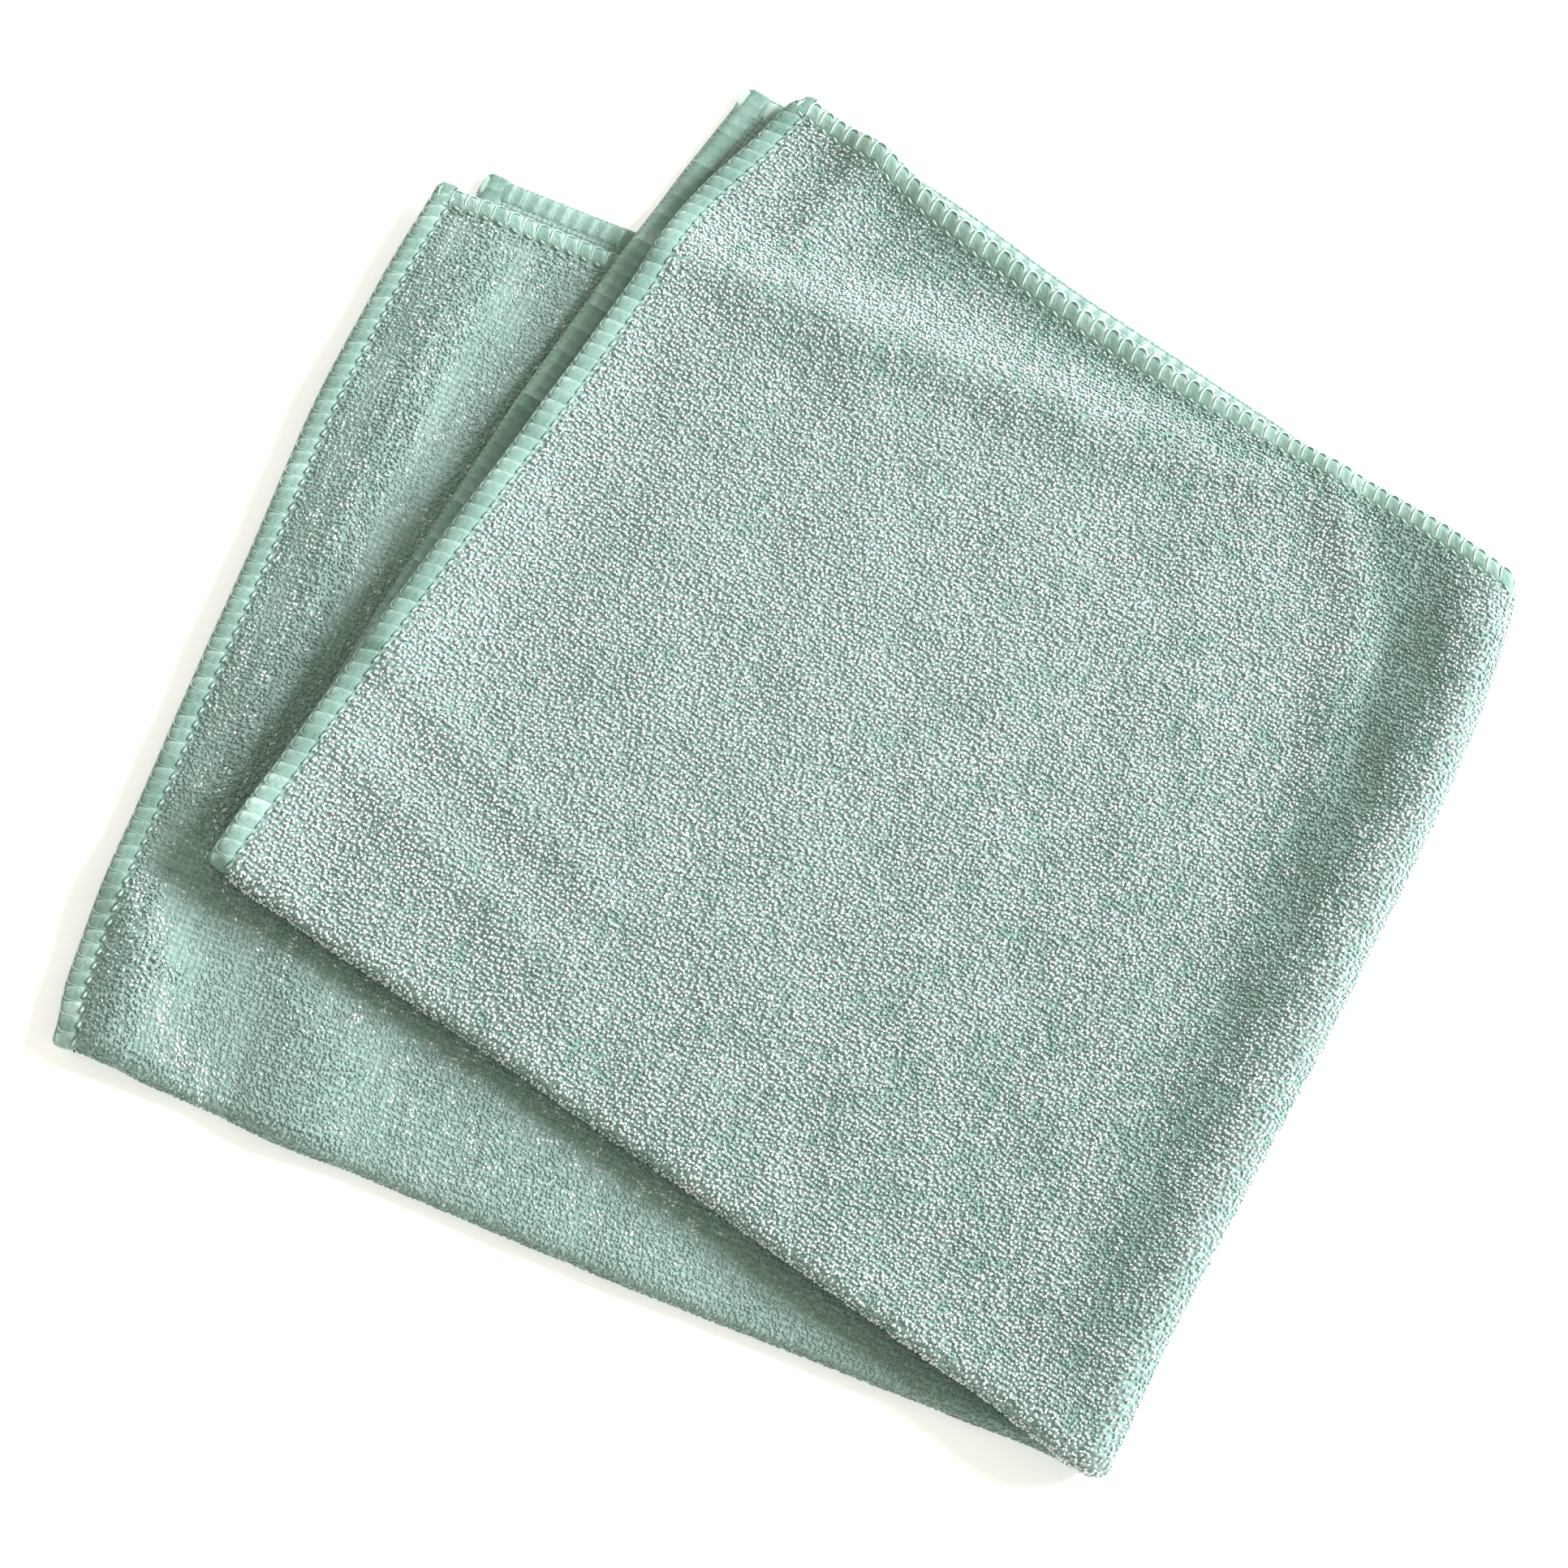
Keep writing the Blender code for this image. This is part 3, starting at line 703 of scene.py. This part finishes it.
STITCH = 3.0            # from one stitch to the next
STITCH_COUNT = int(SIDE / STITCH)
STITCH_STRAY = 0.12     # how far a stitch strays along the edge
STITCH_TONE_STRAY = 0.07        # how much its tone and its fullness differ from the usual
STITCH_FULL_STRAY = 0.2
BAND = 4.1              # width of the sewn band
CORNER_KEEP = 0.4       # the thread turns the corners inside this
FOLD_REACH = 25.0       # painted light: the thread is paler this near to the first fold
FOLD_LIGHT_TONE = 0.15        # by so much
EDGES = ("left", "inner head", "right", "outer head")

# How the loops of each edge look on the outer and the inner face: how deep they are cupped, how far
# their tips stand out, the tone inside them, between them and at their tips (0 deep, 1 pale), and how
# thick the strand is. The tones are painted light and shade, the same thread lit on one edge and shaded
# on another, and the tone at the tips is a painted glint
LOOKS = {
    "left": {"cup": (0.06, 0.04), "tip": (0.1, 0.1), "inside": (0.2, 0.1), "between": (0.3, 0.2),
             "glint": (0.25, 0.0), "strand": (0.5, 0.5)},
    "inner head": {"cup": (0.14, 0.2), "tip": (0.2, 0.25), "inside": (0.2, 0.25), "between": (0.5, 0.75),
                   "glint": (0.2, 0.2), "strand": (0.65, 0.8)},
    "right": {"cup": (0.06, 0.02), "tip": (0.15, 0.05), "inside": (0.08, 0.22), "between": (0.18, 0.24),
              "glint": (0.5, 0.0), "strand": (0.4, 0.5)},
    "outer head": {"cup": (0.16, 0.12), "tip": (0.12, 0.05), "inside": (0.2, 0.2), "between": (0.62, 0.5),
                   "glint": (0.1, 0.0), "strand": (0.9, 1.0)},
}
LOOK_CHANGE = 0.44      # on the way over the rim the looks change from here, over this part of the way
LOOK_CHANGE_OVER = 0.12

# The deep colour serves as painted shade, in the cups of shaded edges and in the needle holes
THREAD_LIGHT = (0.60, 0.82, 0.73, 1.0)
THREAD_DARK = (0.21, 0.355, 0.295, 1.0)
THREAD_DEEP = (0.06, 0.16, 0.11, 1.0)
DEEP_TO_DARK = (-0.3, 0.15)             # tones over which one colour goes over to the next
DARK_TO_LIGHT = (0.1, 1.0)
FILAMENT_STRETCH = (9.0, 2.2, 1.0)      # filaments are fine across the thread and long along it
FILAMENT_TONE = 0.35    # how much they count in the tone, and what is taken off for their mean
FILAMENT_MEAN = 0.18
FILAMENT_DEPTH = 0.3
STITCH_MAP = 4.0        # length of a stitch in the thread's map
STITCH_SHIFT = 1.37     # the next stitch starts this much further on in it, so that no two are alike

thread_material, shader, start = new_material("edge_thread", roughness=0.65, sheen=0.12)
thread_place = start.add("ShaderNodeUVMap", {"uv_map": "thread"})
thread_tone = start.add("ShaderNodeSeparateXYZ", {}, {0: thread_place})
stretched = start.add("ShaderNodeVectorMath", {"operation": "MULTIPLY"},
                      {0: thread_place, 1: FILAMENT_STRETCH})
filaments = start.add("ShaderNodeTexNoise", {"noise_dimensions": "2D"},
                      {"Vector": stretched, "Scale": 1.0, "Detail": 3.0})
thread_tone = thread_tone + filaments * FILAMENT_TONE - FILAMENT_MEAN
thread_colour = thread_tone.between(*DARK_TO_LIGHT).mix(THREAD_DARK, THREAD_LIGHT)
thread_colour = thread_tone.between(*DEEP_TO_DARK).mix(THREAD_DEEP, thread_colour)
bump = start.add("ShaderNodeBump", {},
                 {"Height": filaments, "Strength": 0.5, "Distance": FILAMENT_DEPTH * MM})
thread_colour.drives(shader, "Base Color")
bump.drives(shader, "Normal")


def round_edge(side, run, inset):
    """Place on the open cloth of a point `run` along one of its four edges and `inset` in from it."""
    if side == "left":
        return inset, run - SIDE / 2
    if side == "inner head":
        return run, SIDE / 2 - inset
    if side == "right":
        return SIDE - inset, SIDE / 2 - run
    return SIDE - run, inset - SIDE / 2


def sewn(places):
    """Place points given as (run, inset, lift) for each of the four edges in turn."""
    quarter = len(places) // 4
    done = []
    for number, side in enumerate(EDGES):
        run, inset, lift = np.moveaxis(places[number * quarter:(number + 1) * quarter], -1, 0)
        run = np.clip(run, -CORNER_KEEP, SIDE + CORNER_KEEP)
        at_along, at_across = round_edge(side, run, inset)
        done.append(on_cloth(at_along, at_across, lift))
    return np.concatenate(done)


def look(name, part):
    """One column of the looks for every stitch, going over from the outer to the inner face."""
    outer, inner = np.repeat(np.array([LOOKS[side][name] for side in EDGES]), STITCH_COUNT, axis=0).T
    share = smooth_step((part - LOOK_CHANGE) / LOOK_CHANGE_OVER)
    return outer[:, None] * (1.0 - share) + inner[:, None] * share


stitch_number = np.arange(4 * STITCH_COUNT)[:, None]
stitch_at = (stitch_number % STITCH_COUNT + 0.5) * SIDE / STITCH_COUNT
stitch_at = stitch_at + chance.uniform(-STITCH_STRAY, STITCH_STRAY, stitch_at.shape)
stitch_tone = chance.normal(0.0, STITCH_TONE_STRAY, stitch_at.shape)
stitch_full = chance.uniform(1.0 - STITCH_FULL_STRAY, 1.0 + STITCH_FULL_STRAY, stitch_at.shape)
# Painted light on the stitches that turn round the first fold
crosses_fold = stitch_number // STITCH_COUNT % 2 == 0
fold_light = np.exp(-((stitch_at - SIDE / 2) / FOLD_REACH) ** 2) * crosses_fold
stitch_tone = stitch_tone + FOLD_LIGHT_TONE * fold_light

# The bed: one cupped loop for each stitch. Its way goes from its inner end on the outer face (part 0)
# over the rim (0.5) to the inner face (1), and "wide" goes from -1 to 1 over a loop
BED_PATH = {"part": (0, 0.10, 0.25, 0.40, 0.47, 0.5, 0.53, 0.60, 0.75, 0.90, 1),
            "in": (4.1, 3.7, 2.7, 1.1, 0.35, 0.05, 0.35, 1.3, 3.1, 4.5, 5.0)}
BED_LIFT = {"part": (0, 0.10, 0.25, 0.40, 0.47, 0.5, 0.53, 0.60, 0.75, 0.90, 1),
            "lift": (0.5, 0.85, 1.05, 1.0, 0.75, 0, -0.75, -0.95, -0.95, -0.85, -0.5)}
BED_HALF = {"part": (0, 0.08, 0.25, 0.45, 0.55, 0.75, 0.92, 1),
            "half": (1.2, 1.55, 1.62, 1.68, 1.68, 1.62, 1.5, 1.2)}
BED_TOOTH = {"wide": (-1, -0.2, 0.55, 1), "out": (0, 0.5, 1, 0)}
BED_HIGH = 1.1          # height of the bed over the cloth's middle
BED_SINK = 0.14         # how deep the sides of a loop go under the strand beside it
BED_SINK_FROM = 0.75    # from this wide out
BED_SLANT = 1.6         # how far a loop's inner end is shifted along the edge
BED_LIT_SIDE_TONE = 0.15    # painted light: how much paler the lit side of a loop is
BED_RIM = 0.07          # the part of the way that the rim takes
GLINT_AT = 0.44         # where the painted glint at a loop's tip is, how far it reaches and how wide it is
GLINT_OVER = 0.1
GLINT_WIDE = 0.6
HOLE_SHADE_TONE = 1.3         # painted shade: how much darker the inner end of a loop is, where it goes into the needle hole
HOLE_PART = 0.07        # over this part of its way
leaf = bmesh.new()
bmesh.ops.create_grid(leaf, x_segments=8, y_segments=12, size=1.0)
mesh, own = repeated(leaf, 4 * STITCH_COUNT)
part = (own[..., 1] + 1.0) / 2.0
wide = own[..., 0]
inset = read_table(BED_PATH, part)
lift = read_table(BED_LIFT, part)
rim = np.exp(-((part - 0.5) / BED_RIM) ** 2)
inside = (1.0 - wide ** 2) ** 2 * np.clip(2.0 * np.abs(np.sin(part * 2.0 * np.pi)), 0.0, 1.0)
sunk = BED_SINK * smooth_step((np.abs(wide) - BED_SINK_FROM) / (1.0 - BED_SINK_FROM))
drop = look("cup", part) * inside * stitch_full + sunk
slant = BED_SLANT * np.clip(inset, 0.0, None) / BAND * (part < 0.5)
run = stitch_at + wide * read_table(BED_HALF, part) + slant
inset = inset - look("tip", part) * read_table(BED_TOOTH, wide) * rim * stitch_full
lift = lift * (1.0 - drop / BED_HIGH)
set_points(mesh, sewn(np.stack([run, inset, lift], axis=-1)).reshape(-1, 3))
# Painted glint at the tip of each loop
tip_glint = np.clip(1.0 - np.abs(part - GLINT_AT) / GLINT_OVER, 0.0, 1.0)
tip_glint = tip_glint * smooth_step((wide + GLINT_WIDE) / (2.0 * GLINT_WIDE))
# Painted shade where each loop goes into its needle hole
hole_shade = np.clip(1.0 - part / HOLE_PART, 0.0, 1.0) * (1.0 - wide ** 2)
# Painted light on one side of each loop, a painted glint at its tip and painted shade at its needle hole
bed_tone = look("inside", part) * inside + look("between", part) * (1.0 - inside)
bed_tone = bed_tone + BED_LIT_SIDE_TONE * wide + stitch_tone + look("glint", part) * tip_glint - HOLE_SHADE_TONE * hole_shade
set_map(mesh, "thread", bed_tone, part * STITCH_MAP + stitch_number * STITCH_SHIFT)
mesh.shade_smooth()
edge_bed = finished("edge_bed", mesh, thread_material)

# The raised strand: up the left side of each loop of the bed, round its tip and down to the next
STRAND_RADIUS = 0.24
STRAND_PATH = {"part": (0, 0.2, 0.42, 0.6, 0.75, 0.9, 1), "wide": (-1.5, -1.45, -1.2, -0.4, 0.5, 1.2, 1.35)}
STRAND_IN = {"part": (0, 0.2, 0.42, 0.6, 0.75, 0.9, 1), "in": (3.9, 2.8, 1.35, 0.35, 0.15, 0.75, 1.5)}
STRAND_LIFT = {"part": (0, 0.2, 0.42, 0.6, 0.75, 0.9, 1), "lift": (0.75, 1.05, 1.1, 0.85, 0.6, 0.9, 0.95)}
STRAND_TAPER = 6.0      # how fast it goes from thin ends to its full thickness
STRAND_THIN = 0.25      # thickness of its ends
STRAND_HIGHLIGHT_TONE = 0.1       # painted highlight: how much paler it is than the bed, and its upper side than its middle
STRAND_TOP_HIGHLIGHT = 0.2
STRAND_STEP = 0.02      # step for working out its direction
rod = bmesh.new()
bmesh.ops.create_cone(rod, cap_ends=False, segments=5, radius1=1.0, radius2=1.0, depth=2.0)
upright = [edge for edge in rod.edges if abs(edge.verts[0].co.z - edge.verts[1].co.z) > 1.0]
bmesh.ops.subdivide_edges(rod, edges=upright, cuts=9)
mesh, own = repeated(rod, 4 * STITCH_COUNT)


def strand_line(part):
    """Middle line of the strand: how far it is along the edge, in from it and above the cloth."""
    inset = read_table(STRAND_IN, part)
    run = read_table(STRAND_PATH, part) + BED_SLANT * np.clip(inset, 0.0, None) / BAND
    return run, inset, read_table(STRAND_LIFT, part)


part = (own[..., 2] + 1.0) / 2.0
run, inset, lift = strand_line(part)
ahead = strand_line(np.clip(part + STRAND_STEP, 0.0, 1.0))
behind = strand_line(np.clip(part - STRAND_STEP, 0.0, 1.0))
way_run = ahead[0] - behind[0]
way_in = ahead[1] - behind[1]
way = np.hypot(way_run, way_in)
outer_face = np.zeros_like(part)
size = look("strand", outer_face)
radius = STRAND_RADIUS * size * np.clip(STRAND_TAPER * part * (1.0 - part), STRAND_THIN, 1.0)
run = stitch_at + run + own[..., 0] * radius * way_in / way
inset = inset - own[..., 0] * radius * way_run / way
lift = lift - (1.0 - size) * STRAND_RADIUS + own[..., 1] * radius
set_points(mesh, sewn(np.stack([run, inset, lift], axis=-1)).reshape(-1, 3))
# Painted highlight on the raised strand and on its upper side
strand_tone = look("between", outer_face) + STRAND_HIGHLIGHT_TONE + STRAND_TOP_HIGHLIGHT * own[..., 1] + stitch_tone
set_map(mesh, "thread", strand_tone, part * STITCH_MAP + stitch_number * STITCH_SHIFT)
mesh.shade_smooth()
edge_strand = finished("edge_strand", mesh, thread_material)

# Needle stitches: short dashes on the band's inner line
NEEDLE_IN = 4.25        # in from the edge
NEEDLE_LIFT = 0.85      # above the cloth's middle
NEEDLE_LONG = 0.95      # half of a dash's length
NEEDLE_RADIUS = 0.28
NEEDLE_SLANT = 0.3      # how far one end lies further in
NEEDLE_TONE = 0.8
NEEDLE_END_SHADE = 1.3   # painted shade: how much deeper its ends are, where they go into the cloth
NEEDLE_MAP = 2.0        # half of a dash's length in the thread's map
dash = bmesh.new()
bmesh.ops.create_uvsphere(dash, u_segments=6, v_segments=5, radius=1.0)
mesh, own = repeated(dash, 4 * STITCH_COUNT)
run = stitch_at + own[..., 2] * NEEDLE_LONG + BED_SLANT
inset = NEEDLE_IN + own[..., 0] * NEEDLE_RADIUS + own[..., 2] * NEEDLE_SLANT
lift = NEEDLE_LIFT + own[..., 1] * NEEDLE_RADIUS
set_points(mesh, sewn(np.stack([run, inset, lift], axis=-1)).reshape(-1, 3))
# Painted shade at the dash's ends
needle_tone = NEEDLE_TONE - NEEDLE_END_SHADE * np.abs(own[..., 2]) ** 3
set_map(mesh, "thread", needle_tone, own[..., 2] * NEEDLE_MAP + stitch_number * STITCH_SHIFT)
mesh.shade_smooth()
needle_line = finished("needle_line", mesh, thread_material)


# ---------------------------------------------------------------------------------------------------
# The studio. A plain pale floor, a large soft light from the upper right and pale light all round,
# seen from above by a long lens, as the photograph was taken.
# ---------------------------------------------------------------------------------------------------

FLOOR_SIZE = 30.0
FLOOR_COLOUR = (0.93, 0.93, 0.93, 1.0)
FLOOR_GLOW = 0.45
KEY_FROM = (1.34, 0.83, 0.93)           # places and sizes here are in metres
KEY_SIZE = 1.0
KEY_POWER = 73.0
KEY_COLOUR = (1.0, 1.0, 1.1)
FILL_STRENGTH = 0.63
FILL_COLOUR = (1.0, 0.945, 0.8, 1.0)
CAMERA_DISTANCE = 0.8916
CAMERA_LEAN = math.radians(23.19)       # of the view, off straight down
CAMERA_AZIMUTH = math.radians(0.97)
CAMERA_ROLL = math.radians(22.46)
CAMERA_LENS = 107.16
LOOK_AT = (-0.00470, -0.01693, 0.0)

floor_mesh = bpy.data.meshes.new("floor")
plane = bmesh.new()
bmesh.ops.create_grid(plane, x_segments=1, y_segments=1, size=FLOOR_SIZE / 2)
plane.to_mesh(floor_mesh)
plane.free()
floor = bpy.data.objects.new("floor", floor_mesh)
bpy.context.scene.collection.objects.link(floor)
floor_material = bpy.data.materials.new("floor")
floor_material.use_nodes = True
floor_shader = floor_material.node_tree.nodes["Principled BSDF"]
floor_shader.inputs["Base Color"].default_value = FLOOR_COLOUR
floor_shader.inputs["Roughness"].default_value = 0.9
floor_shader.inputs["Specular IOR Level"].default_value = 0.1
floor_shader.inputs["Emission Color"].default_value = FLOOR_COLOUR
floor_shader.inputs["Emission Strength"].default_value = FLOOR_GLOW
floor_mesh.materials.append(floor_material)

world = bpy.data.worlds.new("studio")
world.use_nodes = True
world.node_tree.nodes["Background"].inputs["Color"].default_value = FILL_COLOUR
world.node_tree.nodes["Background"].inputs["Strength"].default_value = FILL_STRENGTH
bpy.context.scene.world = world

key_data = bpy.data.lights.new("key", "AREA")
key_data.shape = "DISK"
key_data.size = KEY_SIZE
key_data.energy = KEY_POWER
key_data.color = KEY_COLOUR
key = bpy.data.objects.new("key", key_data)
key.location = KEY_FROM
key.rotation_mode = "QUATERNION"
key.rotation_quaternion = (-Vector(KEY_FROM)).to_track_quat("-Z", "Y")
bpy.context.scene.collection.objects.link(key)

camera_data = bpy.data.cameras.new("camera")
camera_data.lens = CAMERA_LENS
camera_data.sensor_width = 36.0
camera_data.clip_start = 0.05
camera_data.clip_end = 50.0
camera = bpy.data.objects.new("camera", camera_data)
away = Vector((-math.sin(CAMERA_AZIMUTH) * math.sin(CAMERA_LEAN),
               -math.cos(CAMERA_AZIMUTH) * math.sin(CAMERA_LEAN), math.cos(CAMERA_LEAN)))
camera.location = Vector(LOOK_AT) + away * CAMERA_DISTANCE
camera.rotation_mode = "QUATERNION"
camera.rotation_quaternion = (-away).to_track_quat("-Z", "Y") @ Quaternion((0.0, 0.0, 1.0), CAMERA_ROLL)
bpy.context.scene.collection.objects.link(camera)
bpy.context.scene.camera = camera
bpy.context.scene.view_settings.view_transform = "Standard"
